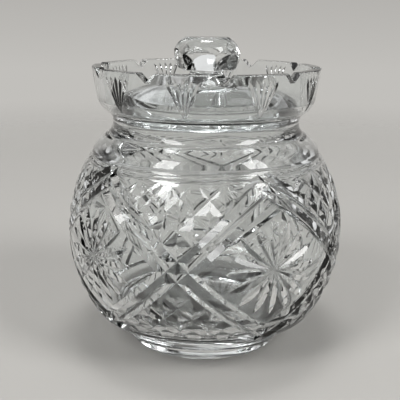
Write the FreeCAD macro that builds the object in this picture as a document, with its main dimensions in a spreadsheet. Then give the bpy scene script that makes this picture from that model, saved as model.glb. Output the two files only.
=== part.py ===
import FreeCAD, Part
import math
import os
import re
import Sketcher

# Covered biscuit jar in clear cut glass: a round-bellied jar with a collar,
# a domed lid that sits inside the collar, and a faceted knob on the lid.
# Millimetres. +Z is up, the origin is the middle of the foot's underside,
# and turns are counted from the front, which is -Y, towards +X.

DIMENSIONS = {
    # Jar, outside
    "UndersideRise": 2.5,
    "FootRadius": 43.5,
    "FootRingWidth": 7.5,
    "FootEdgeRadius": 47.0,
    "FootEdgeHeight": 5.5,
    "CoveReach": 15.1,
    "CoveRise": 12.5,
    "CoveCurve": 16.0,
    "BellyRadius": 75.0,
    "LowerFluteWidth": 1.3,
    "LowerFluteRise": 3.1,
    "UpperFluteWidth": 2.5,
    "UpperFluteRise": 3.7,
    "FluteCurve": 5.0,
    "ShoulderReach": 11.0,
    "ShoulderRise": 7.8,
    "ShoulderCurve": 16.6,
    "NeckRise": 6.7,
    "NeckRadius": 49.6,
    "NeckCurve": 8.0,
    "CollarFootRise": 4.8,
    "CollarReach": 8.0,
    "CollarRise": 7.4,
    "CollarCurve": 12.0,
    "RimFlare": 2.2,
    "RimRise": 16.2,
    # Jar, inside
    "RimWall": 5.0,
    "CollarWall": 4.6,
    "LedgeRise": 2.9,
    "LedgeWidth": 6.4,
    "NeckWall": 6.0,
    "BellyWall": 7.0,
    "FloorThickness": 16.5,
    "FloorCorner": 12.0,
    "FloorCornerCurve": 14.0,
    # Jar, cut work
    "NotchCount": 10,
    "NotchTurn": 8.0,
    "NotchWidth": 9.6,
    "NotchDepth": 4.6,
    "CrossCount": 5,
    "CrossTurn": -10.0,
    "ArmSlope": 45.0,
    "ArmSpacing": 7.2,
    "MitreDepth": 1.5,
    "MitreHalfAngle": 47.0,
    # Lid
    "LidEdgeClearance": 0.8,
    "LidEdgeThickness": 4.0,
    "LidDomeCurve": 62.0,
    "LidHollowRise": 2.0,
    "LidHollowCrown": 8.3,
    "SkirtClearance": 0.7,
    "SkirtDepth": 7.0,
    "SkirtWall": 3.6,
    "StemRadius": 9.0,
    "StemFlare": 3.0,
    "StemFlareFootHeight": 13.5,
    "StemFlareTopHeight": 17.0,
    "StemFlareCurve": 5.0,
    "StemHeight": 18.9,
    # Knob
    "KnobRadius": 17.7,
    "KnobBottomRadius": 15.2,
    "KnobTopRadius": 11.3,
    "KnobHeight": 16.4,
    "GirdleHeight": 8.2,
    "KnobSideCurve": 12.0,
    "FacetCount": 6,
    "FacetTurn": -15.0,
    "FacetReach": 15.7,
    "UpperFacetSlope": 54.0,
    "LowerFacetSlope": 72.0,
}

# Each part of the jar stands on the one below it, and each wall is measured from
# the glass beside it, so these follow from the sizes above.
WORKED_OUT = {
    "UndersideRadius": "FootRadius - FootRingWidth",
    "BaseEdgeRadius": "FootEdgeRadius + CoveReach",
    "BaseEdgeHeight": "FootEdgeHeight + CoveRise",
    "BellyHeight": "BaseEdgeHeight + sqrt(BellyRadius^2 - BaseEdgeRadius^2)",
    "ShoulderEdgeRadius": "NeckRadius + ShoulderReach",
    "FluteMiddleRadius": "ShoulderEdgeRadius + UpperFluteWidth",
    "FluteLowRadius": "FluteMiddleRadius + LowerFluteWidth",
    "FluteLowRise": "sqrt(BellyRadius^2 - FluteLowRadius^2)",
    "FluteLowHeight": "BellyHeight + FluteLowRise",
    "FluteMiddleHeight": "FluteLowHeight + LowerFluteRise",
    "ShoulderEdgeHeight": "FluteMiddleHeight + UpperFluteRise",
    "ShoulderTopHeight": "ShoulderEdgeHeight + ShoulderRise",
    "NeckHeight": "ShoulderTopHeight + NeckRise",
    "CollarFootHeight": "NeckHeight + CollarFootRise",
    "CollarSideHeight": "CollarFootHeight + CollarRise",
    "CollarSideRadius": "NeckRadius + CollarReach",
    "RimHeight": "CollarSideHeight + RimRise",
    "RimRadius": "CollarSideRadius + RimFlare",
    "NeckBoreRadius": "NeckRadius - NeckWall",
    "LedgeRadius": "NeckBoreRadius + LedgeWidth",
    "LedgeHeight": "CollarFootHeight + LedgeRise",
    "FloorHeight": "UndersideRise + FloorThickness",
    # The arms climb from the crossing to the lower flute
    "ArmSweep": "2 * asin(FluteLowRise / (BellyRadius * sin(ArmSlope)))",
}

SHEET = "Sizes"
FRONT = 90  # degrees from the front, -Y, to +X

doc = FreeCAD.newDocument("biscuit_jar")


def make_sheet():
    """Write every driving dimension into one sheet, a cell and an alias each."""
    cells = doc.addObject("Spreadsheet::Sheet", SHEET)
    for row, (alias, size) in enumerate(DIMENSIONS.items(), start=1):
        cells.set(f"A{row}", alias)
        cells.set(f"B{row}", str(size))
        cells.setAlias(f"B{row}", alias)
    doc.recompute()
    return cells


sheet = make_sheet()


def sized(formula):
    """Bring a formula down to the sheet's own cells, so that any object can use it."""

    def cell(match):
        name = match.group()
        return f"({sized(WORKED_OUT[name])})" if name in WORKED_OUT else f"{SHEET}.{name}"

    return re.sub(r"\b[A-Z]\w+", cell, formula)


def number(formula):
    """Work a formula out now, for the first guess of a sketch."""
    result = sheet.evalExpression(sized(formula))
    return float(getattr(result, "Value", result))


def new_body(label):
    body = doc.addObject("PartDesign::Body", label)
    body.Label = label
    return body


def origin_feature(body, role):
    return next(item for item in body.Origin.OriginFeatures if item.Role == role)


def new_sketch(body, name, plane="XZ_Plane", place=None):
    """A sketch on one of the body's own planes, moved and turned by a formula."""
    sketch = body.newObject("Sketcher::SketchObject", name)
    sketch.AttachmentSupport = [(origin_feature(body, plane), "")]
    sketch.MapMode = "FlatFace"
    if place:
        sketch.setExpression("AttachmentOffset", sized(place))
        doc.recompute()
    return sketch


def placed(across, deep, up, yaw, pitch, roll):
    """The formula of a place: where it is, and its turns about Z, Y and X."""
    return (f"create(<<placement>>; create(<<vector>>; {across}; {deep}; {up}); "
            f"create(<<rotation>>; {yaw}; {pitch}; {roll}))")


def measure(sketch, kind, places, formula):
    """Add one dimension to a sketch and tie it to the sheet."""
    index = sketch.addConstraint(Sketcher.Constraint(kind, *places, number(formula)))
    sketch.setExpression(f"Constraints[{index}]", sized(formula))


class Outline:
    """A closed outline: corners at measured places, joined by lines and arcs.

    A corner is a pair of formulas, across and up, and "0" is on the axis there.
    """

    def __init__(self, sketch, across, up):
        self.sketch = sketch
        self.corners = [(across, up)]
        self.edges = []

    def line(self, across, up):
        self.edges.append(None)
        self.corners.append((across, up))

    def arc(self, across, up, radius, side):
        """Bulge to the left of the way travelled, side 1, or to the right, side -1."""
        self.edges.append((radius, side))
        self.corners.append((across, up))

    def close(self):
        self.edges.append(None)
        points = [FreeCAD.Vector(number(a), number(u), 0) for a, u in self.corners]
        ends = points[1:] + points[:1]
        drawn = [self.draw(*step) for step in zip(points, ends, self.edges)]
        for (_, end), (start, _) in zip(drawn, drawn[1:] + drawn[:1]):
            self.sketch.addConstraint(Sketcher.Constraint("Coincident", *end, *start))
        for (start, _), corner in zip(drawn, self.corners):
            self.fix(start, corner)
        for (start, _), curve in zip(drawn, self.edges):
            if curve:
                measure(self.sketch, "Radius", [start[0]], curve[0])

    def draw(self, start, end, curve):
        """Draw one edge, and give the places of its start and its end."""
        if not curve:
            edge = self.sketch.addGeometry(Part.LineSegment(start, end), False)
            return (edge, 1), (edge, 2)
        radius = number(curve[0])
        side = curve[1]
        chord = end - start
        left = FreeCAD.Vector(-chord.y, chord.x, 0) / chord.Length
        rise = math.sqrt(radius**2 - (chord.Length / 2)**2)
        centre = (start + end) * 0.5 - left * (side * rise)
        first, last = (end, start) if side > 0 else (start, end)
        angles = [math.atan2(p.y - centre.y, p.x - centre.x) for p in (first, last)]
        circle = Part.Circle(centre, FreeCAD.Vector(0, 0, 1), radius)
        edge = self.sketch.addGeometry(Part.ArcOfCircle(circle, *angles), False)
        return ((edge, 2), (edge, 1)) if side > 0 else ((edge, 1), (edge, 2))

    def fix(self, place, corner):
        for kind, axis, formula in zip(("DistanceX", "DistanceY"), (-2, -1), corner):
            if formula == "0":
                self.sketch.addConstraint(Sketcher.Constraint("PointOnObject", *place, axis))
            else:
                measure(self.sketch, kind, [-1, 1, *place], formula)


def revolve(body, name, sketch):
    """Turn an outline round the upright axis into glass."""
    feature = body.newObject("PartDesign::Revolution", name)
    feature.Profile = sketch
    feature.ReferenceAxis = (sketch, ["V_Axis"])
    feature.Angle = 360
    doc.recompute()


def cut(body, kind, name, settings, formulas):
    """Add a cutting feature. One that removes nothing points away from the glass."""
    before = body.Shape.Volume
    feature = body.newObject(kind, name)
    for setting, value in settings.items():
        setattr(feature, setting, value)
    for setting, formula in formulas.items():
        feature.setExpression(setting, sized(formula))
    body.Tip = feature
    doc.recompute()
    removed = before - body.Shape.Volume
    if removed < 0.01:
        raise RuntimeError(f"{name} removed nothing")
    print(f"{name}: {removed:.0f} mm3 cut away")
    return feature


def pocket(body, name, sketch, length):
    """Cut an outline out, from the sketch outwards."""
    settings = {"Profile": sketch, "Reversed": True}
    return cut(body, "PartDesign::Pocket", name, settings, {"Length": length})


def ring_cut(body, name, sketch, sweep):
    """Run an outline round the sketch's upright line, half the sweep each way."""
    settings = {"Profile": sketch, "ReferenceAxis": (sketch, ["V_Axis"]), "Midplane": True}
    return cut(body, "PartDesign::Groove", name, settings, {"Angle": sweep})


def repeat(body, name, feature, count):
    """Repeat a cut evenly round the upright axis."""
    settings = {
        "Originals": [feature],
        "Axis": (origin_feature(body, "Z_Axis"), [""]),
        "Angle": 360,
    }
    return cut(body, "PartDesign::PolarPattern", name, settings, {"Occurrences": count})


def in_belly(height):
    """The radius of the hollow in the belly at a height."""
    return f"sqrt((BellyRadius - BellyWall)^2 - ({height} - BellyHeight)^2)"


def on_neck(height):
    """The radius of the neck's hollow curve at a height."""
    return f"(NeckRadius + NeckCurve - sqrt(NeckCurve^2 - ({height} - NeckHeight)^2))"


def cap(across, rise):
    """The radius of a ball whose cap is this far across from its middle, and this high."""
    return f"(({across})^2 + {rise}^2) / (2 * {rise})"


def draw_jar_outside(outline):
    """From the dished underside up to the rim."""
    outline.arc("UndersideRadius", "0", cap("UndersideRadius", "UndersideRise"), 1)
    outline.line("FootRadius", "0")
    outline.line("FootEdgeRadius", "FootEdgeHeight")
    outline.arc("BaseEdgeRadius", "BaseEdgeHeight", "CoveCurve", 1)
    outline.arc("FluteLowRadius", "FluteLowHeight", "BellyRadius", -1)
    outline.arc("FluteMiddleRadius", "FluteMiddleHeight", "FluteCurve", 1)
    outline.arc("ShoulderEdgeRadius", "ShoulderEdgeHeight", "FluteCurve", 1)
    outline.arc(on_neck("ShoulderTopHeight"), "ShoulderTopHeight", "ShoulderCurve", -1)
    outline.arc(on_neck("CollarFootHeight"), "CollarFootHeight", "NeckCurve", 1)
    outline.arc("CollarSideRadius", "CollarSideHeight", "CollarCurve", -1)
    outline.line("RimRadius", "RimHeight")


def draw_jar_inside(outline):
    """From the rim down past the lid's ledge and the neck to the floor."""
    outline.line("RimRadius - RimWall", "RimHeight")
    outline.line("CollarSideRadius - CollarWall", "CollarSideHeight")
    outline.arc("LedgeRadius", "LedgeHeight", "CollarCurve", 1)
    outline.line("NeckBoreRadius", "LedgeHeight")
    bore_foot = "BellyHeight + sqrt((BellyRadius - BellyWall)^2 - NeckBoreRadius^2)"
    outline.line("NeckBoreRadius", bore_foot)
    corner = "(FloorHeight + FloorCorner)"
    outline.arc(in_belly(corner), corner, "BellyRadius - BellyWall", 1)
    outline.arc(f"{in_belly(corner)} - FloorCorner", "FloorHeight", "FloorCornerCurve", 1)
    outline.line("0", "FloorHeight")


def cut_rim_notches(jar):
    """Square-set V notches through the rim, ten between them."""
    place = placed("0", "0", "0", "0", "NotchTurn", "0")
    sketch = new_sketch(jar, "notch_outline", place=place)
    half_top = "NotchWidth / 2 * (1 + RimWall / NotchDepth)"
    outline = Outline(sketch, "0", "RimHeight - NotchDepth")
    outline.line(half_top, "RimHeight + RimWall")
    outline.line(f"-{half_top}", "RimHeight + RimWall")
    outline.close()
    notch = pocket(jar, "rim_notch", sketch, "RimRadius + RimWall")
    repeat(jar, "rim_notches", notch, "NotchCount")


def cut_arms(jar, name, roll):
    """Pairs of mitre cuts that climb the belly and cross in the middle.

    Each cut lies in a plane through the middle of the belly, so the sketch is set
    there, facing the crossing, and the V runs round the sketch's upright line.
    """
    place = placed("0", "0", "BellyHeight", f"CrossTurn - {FRONT}", "0", roll)
    sketch = new_sketch(jar, f"{name}_outline", "XY_Plane", place)
    half_top = "(MitreDepth + BellyWall) * tan(MitreHalfAngle)"
    for side in ("", "-"):
        middle = f"{side}ArmSpacing / 2"
        outline = Outline(sketch, "BellyRadius - MitreDepth", middle)
        outline.line("BellyRadius + BellyWall", f"{middle} + {half_top}")
        outline.line("BellyRadius + BellyWall", f"{middle} - {half_top}")
        outline.close()
    arm = ring_cut(jar, f"{name}_arm", sketch, "ArmSweep")
    repeat(jar, f"{name}_arms", arm, "CrossCount")


def make_jar():
    jar = new_body("jar")
    sketch = new_sketch(jar, "jar_outline")
    outline = Outline(sketch, "0", "UndersideRise")
    draw_jar_outside(outline)
    draw_jar_inside(outline)
    outline.close()
    revolve(jar, "jar_turning", sketch)
    cut_rim_notches(jar)
    cut_arms(jar, "rising", "90 - ArmSlope")
    cut_arms(jar, "falling", "90 + ArmSlope")
    return jar


def make_lid():
    """A dome with a flat seat, a skirt that drops into the neck, and a stem."""
    lid = new_body("lid")
    sketch = new_sketch(lid, "lid_outline")
    skirt = "(NeckBoreRadius - SkirtClearance)"
    hollow = f"{skirt} - SkirtWall"
    edge = "(LedgeRadius - LidEdgeClearance)"
    outline = Outline(sketch, "0", "LedgeHeight + LidHollowRise + LidHollowCrown")
    outline.arc(hollow, "LedgeHeight + LidHollowRise", cap(hollow, "LidHollowCrown"), 1)
    outline.line(hollow, "LedgeHeight - SkirtDepth")
    outline.line(skirt, "LedgeHeight - SkirtDepth")
    outline.line(skirt, "LedgeHeight")
    outline.line(edge, "LedgeHeight")
    outline.line(edge, "LedgeHeight + LidEdgeThickness")
    flare_foot = "LedgeHeight + StemFlareFootHeight"
    outline.arc("StemRadius + StemFlare", flare_foot, "LidDomeCurve", -1)
    outline.arc("StemRadius", "LedgeHeight + StemFlareTopHeight", "StemFlareCurve", 1)
    outline.line("StemRadius", "LedgeHeight + StemHeight")
    outline.line("0", "LedgeHeight + StemHeight")
    outline.close()
    revolve(lid, "lid_turning", sketch)
    return lid


def cut_facets(knob, name, pitch):
    """Flat facets round the knob that all meet at its girdle."""
    turn = f"(FacetTurn - {FRONT})"
    girdle = "LedgeHeight + StemHeight + GirdleHeight"
    across = f"FacetReach * cos({turn})"
    deep = f"FacetReach * sin({turn})"
    place = placed(across, deep, girdle, turn, pitch, "0")
    sketch = new_sketch(knob, f"{name}_outline", "XY_Plane", place)
    reach = "KnobRadius * 2"
    outline = Outline(sketch, f"-{reach}", f"-{reach}")
    outline.line(reach, f"-{reach}")
    outline.line(reach, reach)
    outline.line(f"-{reach}", reach)
    outline.close()
    facet = pocket(knob, f"{name}_facet", sketch, reach)
    repeat(knob, f"{name}_facets", facet, "FacetCount")


def make_knob():
    """A flattened ball of glass that stands on the lid's stem, ground to facets."""
    knob = new_body("lid_knob")
    sketch = new_sketch(knob, "knob_outline")
    foot = "LedgeHeight + StemHeight"
    outline = Outline(sketch, "0", foot)
    outline.line("KnobBottomRadius", foot)
    outline.arc("KnobRadius", f"{foot} + GirdleHeight", "KnobSideCurve", -1)
    outline.arc("KnobTopRadius", f"{foot} + KnobHeight", "KnobSideCurve", -1)
    outline.line("0", f"{foot} + KnobHeight")
    outline.close()
    revolve(knob, "knob_turning", sketch)
    cut_facets(knob, "upper", "UpperFacetSlope")
    cut_facets(knob, "lower", "180 - LowerFacetSlope")
    return knob


def check_document():
    """Stop if any feature failed while it was worked out."""
    for item in doc.Objects:
        if {"Invalid", "Error"} & set(item.State):
            raise RuntimeError(f"{item.Name} failed: {item.State}")


def write_pieces(pieces):
    os.makedirs("parts", exist_ok=True)
    for piece in pieces:
        shape = piece.Shape
        if shape.isNull() or not shape.isValid() or len(shape.Solids) != 1:
            raise RuntimeError(f"{piece.Label} is not one sound solid")
        shape.exportStep(f"parts/{piece.Label}.step")
        box = shape.BoundBox
        print(f"{piece.Label}: {shape.Volume:.0f} mm3, {box.XLength:.1f} x "
              f"{box.YLength:.1f} mm, from {box.ZMin:.1f} to {box.ZMax:.1f} mm up")


pieces = [make_jar(), make_lid(), make_knob()]
doc.recompute()
check_document()
write_pieces(pieces)
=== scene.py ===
import math

import bmesh
import bpy
import numpy as np
from mathutils import Matrix, Vector


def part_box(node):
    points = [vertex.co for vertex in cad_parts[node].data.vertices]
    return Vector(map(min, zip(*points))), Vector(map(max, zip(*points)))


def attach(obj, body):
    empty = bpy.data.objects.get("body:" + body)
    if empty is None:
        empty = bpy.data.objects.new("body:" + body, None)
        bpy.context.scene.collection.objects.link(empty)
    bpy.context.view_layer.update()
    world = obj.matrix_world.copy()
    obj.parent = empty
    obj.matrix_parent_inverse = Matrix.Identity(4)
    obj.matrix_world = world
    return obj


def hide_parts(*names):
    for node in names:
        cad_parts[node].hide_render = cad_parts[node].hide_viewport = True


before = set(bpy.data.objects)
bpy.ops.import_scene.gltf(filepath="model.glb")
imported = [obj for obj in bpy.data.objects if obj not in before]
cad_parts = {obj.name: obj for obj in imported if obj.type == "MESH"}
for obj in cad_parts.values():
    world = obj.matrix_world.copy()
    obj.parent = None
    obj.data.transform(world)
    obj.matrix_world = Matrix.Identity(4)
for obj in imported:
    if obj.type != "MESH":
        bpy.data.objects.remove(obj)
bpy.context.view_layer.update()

MM = 0.001

# The jar's turned outline, in millimetres across and up. It follows the solid, with the
# flute under the shoulder cut slightly deeper.
UNDERSIDE = (36.0, 2.5)
FOOT = 43.5
FOOT_EDGE = (47.0, 5.5)
COVE_CURVE = 16.0
BASE_EDGE_HEIGHT = 18.0
BELLY_RADIUS = 75.0
BELLY_HEIGHT = 60.05
FLUTE_LOW = (64.4, 98.5)
FLUTE_MIDDLE = (62.6, 101.6)
SHOULDER_EDGE = (60.4, 105.3)
FLUTE_CURVE = 5.0
SHOULDER_TOP_HEIGHT = 113.1
SHOULDER_CURVE = 16.6
NECK_RADIUS = 49.6
NECK_HEIGHT = 119.8
NECK_CURVE = 8.0
COLLAR_FOOT_HEIGHT = 124.6
COLLAR_SIDE = (57.6, 132.0)
COLLAR_CURVE = 12.0
RIM_RADIUS = 59.8
RIM_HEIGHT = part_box("jar")[1][2] / MM
RIM_WALL = 5.0
RIM_EDGE = 0.6
COLLAR_WALL = 4.6
LEDGE = (50.0, 127.5)
NECK_BORE = 43.6
BELLY_WALL = 7.0
FLOOR_HEIGHT = 19.0
FLOOR_CORNER = 12.0
FLOOR_CORNER_CURVE = 14.0

# The cut work: lengths in millimetres, turns and angles in degrees. A cutter's angle is
# from the middle of its V to a face. FAN_FOOT_DEPTH, FAN_FOOT_SPREAD and FAN_RUN_OUT are
# shares of the whole. The powers, PETAL_LATENESS and PETAL_FULLNESS among them, shape how
# a cut fades.
NOTCH_COUNT = 10
NOTCH_TURN = 8.0
NOTCH_WIDTH = 9.6
NOTCH_DEPTH = 4.6
CROSS_COUNT = 5
CROSS_TURN = -10.0
ARM_SLOPE = 45.0
ARM_REACH = 46.5
ARM_SPACING = 7.6
ARM_DEPTH = 1.9
ARM_ANGLE = 60.0
FIELD_PITCH = 10.25
FIELD_ROWS = 5
FIELD_DEPTH = 1.45
FIELD_ANGLE = 72.0
BAR_ANGLE = 28.0
FIELD_REACH = 39.3
FIELD_SWEEP = 60.0
FIELD_TAPER = 16.0
FIELD_TAPER_POWER = 0.9
STAR_TURN = 36.0
STAR_POINTS = 16
PETAL_LENGTH = 24.5
PETAL_DEPTH = 1.35
PETAL_ANGLE = 60.0
PETAL_LATENESS = 1.6
PETAL_FULLNESS = 0.8
PETAL_STEPS = 15
FAN_COUNT = 10
FAN_RAYS = 5
FAN_SPREAD = 15.0
FAN_FOOT_HEIGHT = 128.4
FAN_TOP_HEIGHT = 145.6
FAN_TOP_DROP = 1.2
FAN_DEPTH = 1.1
FAN_FOOT_DEPTH = 0.2
FAN_FOOT_SPREAD = 0.06
FAN_RUN_OUT = 0.14
FAN_RUN_OUT_POWER = 0.6
FAN_ANGLE = 50.0
FAN_STEPS = 12
COLLAR_BULGE = 0.11

# The lid and its knob. The lid's own heights are above the ledge that it rests on.
LID_EDGE = (49.2, 4.0)
LID_ROUND = 1.0
DOME_EDGE = (1.2, 0.4)
DOME_EDGE_CURVE = 1.3
LID_DOME_CURVE = 62.0
LID_HOLLOW_RISE = 2.0
LID_HOLLOW_CROWN = 8.3
SKIRT_RADIUS = 42.9
SKIRT_DEPTH = 7.0
SKIRT_WALL = 3.6
STEM_RADIUS = 9.0
STEM_FLARE = (12.0, 13.5)
STEM_NECK_HEIGHT = 17.0
STEM_CURVE = 5.0
KNOB_FOOT_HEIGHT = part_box("lid_knob")[0][2] / MM
KNOB_TOP_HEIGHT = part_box("lid_knob")[1][2] / MM
KNOB_GIRDLE = 8.2
KNOB_RADIUS = 17.7
KNOB_FOOT_RADIUS = 15.2
KNOB_TOP_RADIUS = 11.3
KNOB_CURVE = 12.0
FACET_COUNT = 6
FACET_TURN = -15.0
FACET_REACH = 15.7
UPPER_FACET_SLOPE = 54.0
UPPER_FACET_SPAN = (0.0, 14.0)
LOWER_FACET_SLOPE = 72.0
LOWER_FACET_SPAN = (-8.6, 14.0)
FACET_BLOCK_HALF_WIDTH = 20.0
FACET_BLOCK_DEPTH = 9.0

# The polish: how far an edge is rounded, and how wide the haze of handling is
EDGE_ROUND = 0.35
HANDLING = 25.0

# How fine the meshes are: steps in millimetres, the lift of a cutter above the glass,
# the size of a face too small to keep, and the angle from which a ridge stays crisp
TURNS = 200
CURVE_STEP = 2.1
LINE_STEP = 4.0
CUT_STEP = 1.6
LIFT = 1.2
SPECK = 0.01
RIDGE_ANGLE = 16.0

# The photograph's camera, fitted to the jar: pixels, metres and radians
PHOTO_WIDTH = 400
LENS_PIXELS = 656.5
SHIFT_PIXELS = -5.2
CAMERA_PLACE = (0, -0.3523, 0.1742)
CAMERA_PITCH = -0.276
CAMERA_ROLL = 0.011
SENSOR_WIDTH = 36

# The studio, in metres
FLOOR_RADIUS = 1.2
FLOOR_SIDES = 96
LAMP_AIM = (0, 0, 0.08)

UP = np.array([0.0, 0.0, 1.0])
BALL_MIDDLE = UP * BELLY_HEIGHT


def add_node(tree, kind, links=None, **settings):
    """Add a node, set its own settings and input values, and link its inputs."""
    node = tree.nodes.new(kind)
    for name, value in settings.items():
        if hasattr(node, name):
            setattr(node, name, value)
        else:
            node.inputs[name.replace("_", " ")].default_value = value
    for name, source in (links or {}).items():
        tree.links.new(source, node.inputs[name])
    return node


def srgb(code):
    """Turn a hex colour as the eye names it into the linear one that light uses."""
    parts = [int(code[i:i + 2], 16) / 255 for i in (1, 3, 5)]
    linear = [p / 12.92 if p <= 0.04045 else ((p + 0.055) / 1.055)**2.4 for p in parts]
    return (*linear, 1.0)


class Outline:
    """A turned outline, in millimetres across and up, with its curves sampled."""

    def __init__(self, across, up):
        self.points = [np.array([across, up])]

    def line(self, across, up):
        start = self.points[-1]
        end = np.array([across, up])
        steps = max(1, round(np.linalg.norm(end - start) / LINE_STEP))
        self.points += [start + (end - start) * i / steps for i in range(1, steps + 1)]

    def arc(self, across, up, radius, side):
        """Bulge to the left of the way travelled, side 1, or to the right, side -1."""
        start = self.points[-1]
        end = np.array([across, up])
        chord = end - start
        length = np.linalg.norm(chord)
        left = np.array([-chord[1], chord[0]]) / length
        centre = (start + end) / 2 - left * side * math.sqrt(radius**2 - (length / 2)**2)
        first = math.atan2(*(start - centre)[::-1])
        sweep = 2 * math.asin(length / 2 / radius) * -side
        steps = max(3, round(abs(sweep) * radius / min(CURVE_STEP, radius / 4)))
        for i in range(1, steps + 1):
            turn = first + sweep * i / steps
            self.points.append(centre + radius * np.array([math.cos(turn), math.sin(turn)]))
        self.points[-1] = end


def cap_radius(across, rise):
    """The radius of a ball whose cap is this far across from its middle, and this high."""
    return (across**2 + rise**2) / (2 * rise)


def on_ball(height, radius=BELLY_RADIUS):
    """How far across the belly's ball is at a height."""
    return math.sqrt(radius**2 - (height - BELLY_HEIGHT)**2)


def on_neck(height):
    """How far across the hollow curve of the neck is at a height."""
    return NECK_RADIUS + NECK_CURVE - math.sqrt(NECK_CURVE**2 - (height - NECK_HEIGHT)**2)


def jar_outline():
    """From the dished underside up the outside to the rim, and down inside to the floor."""
    line = Outline(0, UNDERSIDE[1])
    line.arc(UNDERSIDE[0], 0, cap_radius(*UNDERSIDE), 1)
    line.line(FOOT, 0)
    line.line(*FOOT_EDGE)
    line.arc(on_ball(BASE_EDGE_HEIGHT), BASE_EDGE_HEIGHT, COVE_CURVE, 1)
    line.arc(*FLUTE_LOW, BELLY_RADIUS, -1)
    line.arc(*FLUTE_MIDDLE, FLUTE_CURVE, 1)
    line.arc(*SHOULDER_EDGE, FLUTE_CURVE, 1)
    line.arc(on_neck(SHOULDER_TOP_HEIGHT), SHOULDER_TOP_HEIGHT, SHOULDER_CURVE, -1)
    line.arc(on_neck(COLLAR_FOOT_HEIGHT), COLLAR_FOOT_HEIGHT, NECK_CURVE, 1)
    line.arc(*COLLAR_SIDE, COLLAR_CURVE, -1)
    line.line(RIM_RADIUS, RIM_HEIGHT - RIM_EDGE)
    line.arc(RIM_RADIUS - RIM_EDGE, RIM_HEIGHT, RIM_EDGE, -1)
    line.line(RIM_RADIUS - RIM_WALL + RIM_EDGE, RIM_HEIGHT)
    line.arc(RIM_RADIUS - RIM_WALL, RIM_HEIGHT - RIM_EDGE, RIM_EDGE, -1)
    line.line(COLLAR_SIDE[0] - COLLAR_WALL, COLLAR_SIDE[1])
    line.arc(*LEDGE, COLLAR_CURVE, 1)
    line.line(NECK_BORE, LEDGE[1])
    inner = BELLY_RADIUS - BELLY_WALL
    line.line(NECK_BORE, BELLY_HEIGHT + math.sqrt(inner**2 - NECK_BORE**2))
    corner = FLOOR_HEIGHT + FLOOR_CORNER
    line.arc(on_ball(corner, inner), corner, inner, 1)
    line.arc(on_ball(corner, inner) - FLOOR_CORNER, FLOOR_HEIGHT, FLOOR_CORNER_CURVE, 1)
    line.line(0, FLOOR_HEIGHT)
    return line.points


def lid_outline():
    """From the hollow of the lid, round the skirt and the dome, up to the knob's top."""
    seat = LEDGE[1]
    hollow = SKIRT_RADIUS - SKIRT_WALL
    line = Outline(0, seat + LID_HOLLOW_RISE + LID_HOLLOW_CROWN)
    line.arc(hollow, seat + LID_HOLLOW_RISE, cap_radius(hollow, LID_HOLLOW_CROWN), 1)
    skirt_end = seat - SKIRT_DEPTH
    line.line(hollow, skirt_end + LID_ROUND)
    line.arc(hollow + LID_ROUND, skirt_end, LID_ROUND, 1)
    line.line(SKIRT_RADIUS - LID_ROUND, skirt_end)
    line.arc(SKIRT_RADIUS, skirt_end + LID_ROUND, LID_ROUND, -1)
    line.line(SKIRT_RADIUS, seat)
    line.line(LID_EDGE[0] - LID_ROUND, seat)
    line.arc(LID_EDGE[0], seat + LID_ROUND, LID_ROUND, -1)
    edge_top = seat + LID_EDGE[1]
    line.line(LID_EDGE[0], edge_top - DOME_EDGE[0])
    line.arc(LID_EDGE[0] - DOME_EDGE[0], edge_top + DOME_EDGE[1], DOME_EDGE_CURVE, -1)
    line.arc(STEM_FLARE[0], seat + STEM_FLARE[1], LID_DOME_CURVE, -1)
    line.arc(STEM_RADIUS, seat + STEM_NECK_HEIGHT, STEM_CURVE, 1)
    line.line(STEM_RADIUS, KNOB_FOOT_HEIGHT)
    line.line(KNOB_FOOT_RADIUS, KNOB_FOOT_HEIGHT)
    line.arc(KNOB_RADIUS, KNOB_FOOT_HEIGHT + KNOB_GIRDLE, KNOB_CURVE, -1)
    line.arc(KNOB_TOP_RADIUS, KNOB_TOP_HEIGHT, KNOB_CURVE, -1)
    line.line(0, KNOB_TOP_HEIGHT)
    return line.points


def turn_outline(name, points, material):
    """Turn an outline round the upright axis into a closed mesh."""
    turns = np.arange(TURNS) * 2 * math.pi / TURNS
    rings = points[1:-1]
    verts = [(0, 0, points[0][1]), (0, 0, points[-1][1])]
    for across, up in rings:
        verts += [(across * math.sin(t), -across * math.cos(t), up) for t in turns]
    faces = []
    for i in range(TURNS):
        j = (i + 1) % TURNS
        for ring in range(len(rings) - 1):
            low = 2 + ring * TURNS
            high = low + TURNS
            faces.append((low + i, low + j, high + j, high + i))
        last = 2 + (len(rings) - 1) * TURNS
        faces.append((0, 2 + j, 2 + i))
        faces.append((1, last + i, last + j))
    return new_object(name, np.array(verts) * MM, faces, material)


def new_object(name, verts, faces, material):
    mesh = bpy.data.meshes.new(name)
    mesh.from_pydata([tuple(v) for v in verts], [], faces)
    mesh.materials.append(material)
    mesh.update()
    obj = bpy.data.objects.new(name, mesh)
    bpy.context.scene.collection.objects.link(obj)
    return obj


def turned(degrees):
    """The direction on the level that is this turn from the front."""
    turn = math.radians(degrees)
    return np.array([math.sin(turn), -math.cos(turn), 0.0])


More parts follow.
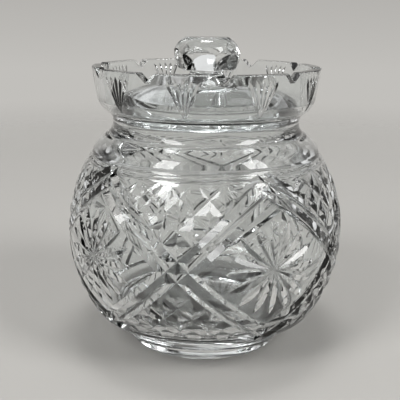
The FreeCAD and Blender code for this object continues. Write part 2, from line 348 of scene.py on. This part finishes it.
def wedge(places, normals, depths, left_angle, right_angle):
    """A V-edged cutter along a path: where its edge runs, and how deep.

    The angles are from the V's middle to its left and right faces.
    """
    places = np.array(places)
    normals = np.array(normals)
    ways = np.gradient(places, axis=0)
    ways /= np.linalg.norm(ways, axis=1)[:, None]
    rights = np.cross(ways, normals)
    depths = np.array(depths)[:, None]
    tips = places - normals * depths
    tops = places + normals * LIFT
    spread = depths + LIFT
    left = tops - rights * spread * math.tan(math.radians(left_angle))
    right = tops + rights * spread * math.tan(math.radians(right_angle))
    verts = np.stack([tips, right, left], axis=1).reshape(-1, 3)
    faces = []
    for i in range(len(places) - 1):
        a = 3 * i
        for j in range(3):
            k = (j + 1) % 3
            faces.append((a + j, a + 3 + j, a + 3 + k, a + k))
    end = 3 * (len(places) - 1)
    faces.append((0, 1, 2))
    faces.append((end + 2, end + 1, end))
    return verts, faces


def joined(parts):
    """Several cutters as one."""
    verts = []
    faces = []
    for part_verts, part_faces in parts:
        base = len(verts)
        verts += list(part_verts)
        faces += [tuple(base + v for v in face) for face in part_faces]
    return verts, faces


def ring_line(facing, axis, offset, first, last):
    """Places and normals along a ring on the belly, square to an axis.

    The ring's plane lies this far along the axis, measured over the glass, and the
    ends are in degrees from where the ring passes the facing direction.
    """
    tilt = offset / BELLY_RADIUS
    side = np.cross(axis, facing)
    count = max(6, round(math.radians(last - first) * BELLY_RADIUS / CUT_STEP))
    turns = np.radians(np.linspace(first, last, count))
    around = np.outer(np.cos(turns), facing) + np.outer(np.sin(turns), side)
    normals = around * math.cos(tilt) + axis * math.sin(tilt)
    return BALL_MIDDLE + normals * BELLY_RADIUS, normals


def arm_axis(slope):
    """The axis of a ring that climbs to the right by a slope as it passes the cross."""
    facing = turned(CROSS_TURN)
    east = turned(CROSS_TURN + 90)
    way = east * math.cos(math.radians(slope)) + UP * math.sin(math.radians(slope))
    return np.cross(facing, way)


def arm_cutters(slope):
    """The two wide mitre cuts of an arm, with a narrow bar between them."""
    parts = []
    for side in (1, -1):
        places, normals = ring_line(
            turned(CROSS_TURN), arm_axis(slope), side * ARM_SPACING / 2, -ARM_REACH, ARM_REACH)
        parts.append(wedge(places, normals, [ARM_DEPTH] * len(places), ARM_ANGLE, ARM_ANGLE))
    return joined(parts)


def field_cutters(slope, rows):
    """The lines beside an arm that leave pyramids above and below the crossing.

    Row 0 runs in the arm's own outer cut, steep on the side of the arm's bar. Each
    line starts at the other arm and rises out of the glass towards the border.
    """
    axis = arm_axis(slope)
    other = arm_axis(-slope)
    parts = []
    for side in (1, -1):
        for row in rows:
            offset = side * (ARM_SPACING / 2 + row * FIELD_PITCH)
            places, normals = ring_line(
                turned(CROSS_TURN), axis, offset, -FIELD_SWEEP, FIELD_SWEEP)
            past = np.arcsin(normals @ other) * BELLY_RADIUS * side
            height = (places[:, 2] - BELLY_HEIGHT) * side
            inside = (past > ARM_SPACING / 2) & (height < FIELD_REACH)
            left = np.abs(past[inside] - past[inside][np.argmax(height[inside])])
            depths = FIELD_DEPTH * np.clip(left / FIELD_TAPER, 0, 1)**FIELD_TAPER_POWER
            angles = [FIELD_ANGLE, BAR_ANGLE if row == 0 else FIELD_ANGLE]
            parts.append(wedge(places[inside], normals[inside], depths, *angles[::side]))
    return joined(parts)


def petal_cutter(point):
    """One leaf of the star, sunk deepest past its middle, so that its end is round."""
    turn = 2 * math.pi * point / STAR_POINTS
    facing = turned(CROSS_TURN + STAR_TURN)
    east = turned(CROSS_TURN + STAR_TURN + 90)
    way = east * math.sin(turn) + UP * math.cos(turn)
    runs = np.linspace(0, 1, PETAL_STEPS)
    angles = runs * PETAL_LENGTH / BELLY_RADIUS
    normals = np.outer(np.cos(angles), facing) + np.outer(np.sin(angles), way)
    hollow = np.clip(np.sin(math.pi * runs**PETAL_LATENESS), 0, 1)
    depths = PETAL_DEPTH * hollow**PETAL_FULLNESS
    return wedge(BALL_MIDDLE + normals * BELLY_RADIUS, normals, depths, PETAL_ANGLE, PETAL_ANGLE)


def fan_cutter(ray):
    """One ray of a fan on the collar, deepest and widest near the rim."""
    lean = (ray - (FAN_RAYS - 1) / 2) / (FAN_RAYS - 1)
    runs = np.linspace(0, 1, FAN_STEPS)
    rise = FAN_TOP_HEIGHT - FAN_FOOT_HEIGHT - FAN_TOP_DROP * abs(lean)
    heights = FAN_FOOT_HEIGHT + rise * runs
    foot, side_height = COLLAR_SIDE
    slope = (RIM_RADIUS - foot) / (RIM_HEIGHT - side_height)
    places = []
    normals = []
    for run, height in zip(runs, heights):
        drop = max(0.0, side_height - height)
        radius = foot + (height - side_height) * slope - drop**2 * COLLAR_BULGE
        spread = FAN_SPREAD * (FAN_FOOT_SPREAD + (1 - FAN_FOOT_SPREAD) * run)
        out = turned(CROSS_TURN + lean * spread)
        places.append(out * radius + UP * height)
        normals.append(out)
    run_out = np.clip((1 - runs) / FAN_RUN_OUT, 0, 1)**FAN_RUN_OUT_POWER
    depths = FAN_DEPTH * (FAN_FOOT_DEPTH + (1 - FAN_FOOT_DEPTH) * runs) * run_out
    return wedge(places, normals, depths, FAN_ANGLE, FAN_ANGLE)


def notch_cutter():
    """A V straight through the rim."""
    out = turned(NOTCH_TURN)
    side = turned(NOTCH_TURN + 90)
    spread = NOTCH_WIDTH / 2 * (1 + RIM_WALL / NOTCH_DEPTH)
    verts = []
    for radius in (RIM_RADIUS - 2 * RIM_WALL, RIM_RADIUS + RIM_WALL):
        middle = out * radius
        verts.append(middle + UP * (RIM_HEIGHT - NOTCH_DEPTH))
        verts.append(middle + side * spread + UP * (RIM_HEIGHT + RIM_WALL))
        verts.append(middle - side * spread + UP * (RIM_HEIGHT + RIM_WALL))
    return verts, [(0, 2, 1), (3, 4, 5), (0, 1, 4, 3), (1, 2, 5, 4), (2, 0, 3, 5)]


def facet_cutter(polar, span):
    """A block whose near face grinds one flat on the knob, this far from upright."""
    out = turned(FACET_TURN)
    side = turned(FACET_TURN + 90)
    girdle = UP * (KNOB_FOOT_HEIGHT + KNOB_GIRDLE)
    normal = out * math.sin(math.radians(polar)) + UP * math.cos(math.radians(polar))
    along = np.cross(side, normal)
    middle = out * FACET_REACH + girdle
    low, high = span
    wide = FACET_BLOCK_HALF_WIDTH
    verts = []
    for deep in (0, FACET_BLOCK_DEPTH):
        for across, up in ((-wide, low), (wide, low), (wide, high), (-wide, high)):
            verts.append(middle + normal * deep + side * across + along * up)
    faces = [(0, 1, 2, 3), (7, 6, 5, 4), (4, 5, 1, 0), (5, 6, 2, 1), (6, 7, 3, 2), (7, 4, 0, 3)]
    return verts, faces


def repeat_tree():
    """Geometry nodes that set copies of a cutter evenly round the upright axis."""
    tree = bpy.data.node_groups.new("cuts round the jar", "GeometryNodeTree")
    face = tree.interface
    face.new_socket("Geometry", in_out="INPUT", socket_type="NodeSocketGeometry")
    face.new_socket("Copies", in_out="INPUT", socket_type="NodeSocketInt")
    face.new_socket("Finish", in_out="INPUT", socket_type="NodeSocketMaterial")
    face.new_socket("Geometry", in_out="OUTPUT", socket_type="NodeSocketGeometry")
    given = add_node(tree, "NodeGroupInput").outputs
    points = add_node(tree, "GeometryNodeMeshLine", {"Count": given["Copies"]}, Offset=(0, 0, 0))
    index = add_node(tree, "GeometryNodeInputIndex")
    share = add_node(tree, "ShaderNodeMath", operation="DIVIDE")
    tree.links.new(index.outputs[0], share.inputs[0])
    tree.links.new(given["Copies"], share.inputs[1])
    turn = add_node(tree, "ShaderNodeMath", operation="MULTIPLY")
    tree.links.new(share.outputs[0], turn.inputs[0])
    turn.inputs[1].default_value = 2 * math.pi
    spin = add_node(tree, "ShaderNodeCombineXYZ", {"Z": turn.outputs[0]})
    copies = add_node(tree, "GeometryNodeInstanceOnPoints", {
        "Points": points.outputs["Mesh"],
        "Instance": given["Geometry"],
        "Rotation": spin.outputs[0],
    })
    real = add_node(tree, "GeometryNodeRealizeInstances", {"Geometry": copies.outputs[0]})
    finish = add_node(tree, "GeometryNodeSetMaterial", {
        "Geometry": real.outputs[0],
        "Material": given["Finish"],
    })
    add_node(tree, "NodeGroupOutput", {"Geometry": finish.outputs[0]})
    return tree


def plain_mesh(obj):
    """Replace an object's mesh by what its modifiers make of it."""
    graph = bpy.context.evaluated_depsgraph_get()
    mesh = bpy.data.meshes.new_from_object(obj.evaluated_get(graph), depsgraph=graph)
    obj.modifiers.clear()
    obj.data = mesh


def cutters_round(name, cutter, count, tree, finish):
    """A cutter repeated round the axis, as one object."""
    verts, faces = cutter
    obj = new_object(name, np.array(verts) * MM, faces, finish)
    ring = obj.modifiers.new("round", "NODES")
    ring.node_group = tree
    for socket in tree.interface.items_tree:
        if socket.in_out == "INPUT" and socket.name == "Copies":
            ring[socket.identifier] = count
        if socket.in_out == "INPUT" and socket.name == "Finish":
            ring[socket.identifier] = finish
    plain_mesh(obj)
    return obj


def carve(piece, cutters):
    """Take each ring of cutters out of a piece, one after another."""
    for cutter in cutters:
        step = piece.modifiers.new(cutter.name, "BOOLEAN")
        step.operation = "DIFFERENCE"
        step.solver = "MANIFOLD"
        step.material_mode = "TRANSFER"
        step.object = cutter
    plain_mesh(piece)
    for cutter in cutters:
        bpy.data.objects.remove(cutter, do_unlink=True)


def smooth(piece):
    """Drop specks that crossing cuts leave, then shade round with sharp ridges crisp."""
    mesh = piece.data
    work = bmesh.new()
    work.from_mesh(mesh)
    bmesh.ops.dissolve_degenerate(work, edges=work.edges, dist=SPECK * MM)
    work.to_mesh(mesh)
    work.free()
    mesh.shade_smooth()
    mesh.set_sharp_from_angle(angle=math.radians(RIDGE_ANGLE))


def crystal(name, haze_from, haze_to, ripple_mm, ripple_depth):
    """Lead crystal: clear, faintly cool, with strong bending and bright edges.

    Polishing leaves a slow ripple, and rounds every edge a little, so that each
    ridge of the cutting shows as a thin bright or dark line. Handling leaves a
    patchy haze that softens the reflections a little.
    """
    material = bpy.data.materials.new(name)
    material.use_nodes = True
    tree = material.node_tree
    tree.nodes.clear()
    place = add_node(tree, "ShaderNodeTexCoord").outputs["Object"]
    worn = add_node(tree, "ShaderNodeBevel", samples=4, Radius=EDGE_ROUND * MM)
    ripple = add_node(tree, "ShaderNodeTexNoise", {"Vector": place}, Scale=1 / (ripple_mm * MM),
                      Detail=2.0)
    bump = add_node(tree, "ShaderNodeBump", {
        "Height": ripple.outputs[0],
        "Normal": worn.outputs[0],
    }, Strength=1.0, Distance=ripple_depth * MM)
    handling = add_node(tree, "ShaderNodeTexNoise", {"Vector": place}, Scale=1 / (HANDLING * MM),
                        Detail=4.0)
    haze = add_node(tree, "ShaderNodeMapRange", {"Value": handling.outputs[0]},
                    From_Min=0.35, From_Max=0.8, To_Min=haze_from, To_Max=haze_to)
    shader = add_node(tree, "ShaderNodeBsdfPrincipled", {
        "Roughness": haze.outputs[0],
        "Normal": bump.outputs[0],
    }, IOR=1.545, Base_Color=srgb("#f9fbfb"), Transmission_Weight=1.0)
    add_node(tree, "ShaderNodeOutputMaterial", {"Surface": shader.outputs[0]})
    return material


def make_jar(tree, polished, mitre):
    jar = turn_outline("cut_crystal_jar", jar_outline(), polished)
    rings = [("rim notches", notch_cutter(), NOTCH_COUNT)]
    for slope in (ARM_SLOPE, -ARM_SLOPE):
        rings.append((f"arms {slope:.0f}", arm_cutters(slope), CROSS_COUNT))
        for first in (0, 1):
            lines = field_cutters(slope, range(first, FIELD_ROWS, 2))
            rings.append((f"field {slope:.0f} from row {first}", lines, CROSS_COUNT))
    for point in range(STAR_POINTS):
        rings.append((f"petal {point}", petal_cutter(point), CROSS_COUNT))
    for ray in range(FAN_RAYS):
        rings.append((f"fan ray {ray}", fan_cutter(ray), FAN_COUNT))
    carve(jar, [cutters_round(name, cutter, count, tree, mitre) for name, cutter, count in rings])
    smooth(jar)
    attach(jar, "jar")
    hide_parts("jar")


def make_lid(tree, polished, mitre):
    lid = turn_outline("crystal_lid_and_knob", lid_outline(), polished)
    rings = [
        ("upper facets", facet_cutter(UPPER_FACET_SLOPE, UPPER_FACET_SPAN), FACET_COUNT),
        ("lower facets", facet_cutter(180 - LOWER_FACET_SLOPE, LOWER_FACET_SPAN), FACET_COUNT),
    ]
    carve(lid, [cutters_round(name, cutter, count, tree, mitre) for name, cutter, count in rings])
    smooth(lid)
    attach(lid, "lid")
    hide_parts("lid", "lid_knob")


def make_stage():
    """A pale round floor of matt paper, which thins out into the backdrop's colour."""
    material = bpy.data.materials.new("matt pale paper")
    material.use_nodes = True
    tree = material.node_tree
    tree.nodes.clear()
    place = add_node(tree, "ShaderNodeTexCoord").outputs["Object"]
    away = add_node(tree, "ShaderNodeVectorMath", operation="LENGTH")
    tree.links.new(place, away.inputs[0])
    fade = add_node(tree, "ShaderNodeMapRange", {"Value": away.outputs["Value"]},
                    interpolation_type="SMOOTHSTEP", From_Min=0.35, From_Max=1.1)
    paper = add_node(tree, "ShaderNodeBsdfDiffuse", Color=srgb("#bcbab6"))
    clear = add_node(tree, "ShaderNodeBsdfTransparent")
    mixed = add_node(tree, "ShaderNodeMixShader", {"Fac": fade.outputs[0]})
    tree.links.new(paper.outputs[0], mixed.inputs[1])
    tree.links.new(clear.outputs[0], mixed.inputs[2])
    add_node(tree, "ShaderNodeOutputMaterial", {"Surface": mixed.outputs[0]})
    turns = np.arange(FLOOR_SIDES) * 2 * math.pi / FLOOR_SIDES
    verts = [(FLOOR_RADIUS * math.cos(t), FLOOR_RADIUS * math.sin(t), 0) for t in turns]
    floor = new_object("floor", verts, [tuple(range(FLOOR_SIDES))], material)


def make_world():
    """Soft surroundings: a plain pale backdrop at eye level, and above it a mottled
    room of light and dark, which is what cut glass needs to sparkle."""
    world = bpy.data.worlds.new("studio")
    bpy.context.scene.world = world
    world.use_nodes = True
    tree = world.node_tree
    tree.nodes.clear()
    way = add_node(tree, "ShaderNodeTexCoord").outputs["Generated"]
    height = add_node(tree, "ShaderNodeSeparateXYZ", {"Vector": way}).outputs["Z"]
    level = add_node(tree, "ShaderNodeMapRange", {"Value": height},
                     From_Min=-1.0, To_Max=1.0)
    backdrop = add_node(tree, "ShaderNodeValToRGB", {"Fac": level.outputs[0]})
    backdrop.color_ramp.elements[0].position = 0.46
    backdrop.color_ramp.elements[0].color = srgb("#c1bfbb")
    backdrop.color_ramp.elements[1].position = 0.62
    backdrop.color_ramp.elements[1].color = srgb("#94928f")
    cloud = add_node(tree, "ShaderNodeTexNoise", {"Vector": way}, Scale=4.0, Detail=1.0)
    patches = add_node(tree, "ShaderNodeMapRange", {"Value": cloud.outputs[0]},
                       From_Min=0.5, From_Max=0.56, To_Min=0.015, To_Max=0.85)
    above = add_node(tree, "ShaderNodeMapRange", {"Value": height},
                     interpolation_type="SMOOTHSTEP", From_Min=0.12, From_Max=0.34)
    room = add_node(tree, "ShaderNodeMix", data_type="RGBA")
    tree.links.new(above.outputs[0], room.inputs["Factor"])
    tree.links.new(backdrop.outputs[0], room.inputs[6])
    tree.links.new(patches.outputs[0], room.inputs[7])
    shade = add_node(tree, "ShaderNodeBackground", {"Color": room.outputs[2]}, Strength=1.0)
    add_node(tree, "ShaderNodeOutputWorld", {"Surface": shade.outputs[0]})


def add_softbox(name, place, width, height, power):
    """A soft rectangular lamp turned to the jar, in metres and watts."""
    lamp = bpy.data.lights.new(name, "AREA")
    lamp.shape = "RECTANGLE"
    lamp.size = width
    lamp.size_y = height
    lamp.energy = power
    obj = bpy.data.objects.new(name, lamp)
    obj.location = place
    aim = Vector(LAMP_AIM) - Vector(place)
    obj.rotation_euler = aim.to_track_quat("-Z", "Y").to_euler()
    bpy.context.scene.collection.objects.link(obj)


def make_camera():
    """The photograph's view: a lens and a place fitted to the jar's outline and cuts."""
    view = bpy.data.cameras.new("camera")
    view.sensor_width = SENSOR_WIDTH
    view.lens = LENS_PIXELS / PHOTO_WIDTH * SENSOR_WIDTH
    view.shift_x = SHIFT_PIXELS / PHOTO_WIDTH
    camera = bpy.data.objects.new("camera", view)
    place = Matrix.Translation(CAMERA_PLACE)
    pitch = Matrix.Rotation(math.pi / 2 + CAMERA_PITCH, 4, "X")
    roll = Matrix.Rotation(CAMERA_ROLL, 4, "Z")
    camera.matrix_world = place @ pitch @ roll
    bpy.context.scene.collection.objects.link(camera)
    bpy.context.scene.camera = camera


make_camera()
polished = crystal(
    "polished lead crystal", haze_from=0.0, haze_to=0.03, ripple_mm=14, ripple_depth=0.03)
mitre = crystal(
    "acid-polished wheel cuts", haze_from=0.01, haze_to=0.04, ripple_mm=3, ripple_depth=0.01)
tree = repeat_tree()
make_jar(tree, polished, mitre)
make_lid(tree, polished, mitre)
make_stage()
make_world()
add_softbox("left softbox", (-1.3, -1.2, 1.7), width=0.7, height=1.2, power=24)
add_softbox("right softbox", (1.5, -0.9, 1.5), width=0.7, height=1.2, power=22)
add_softbox("overhead softbox", (0.0, 0.2, 2.2), width=0.8, height=0.5, power=14)
bpy.context.scene.view_settings.view_transform = "Standard"
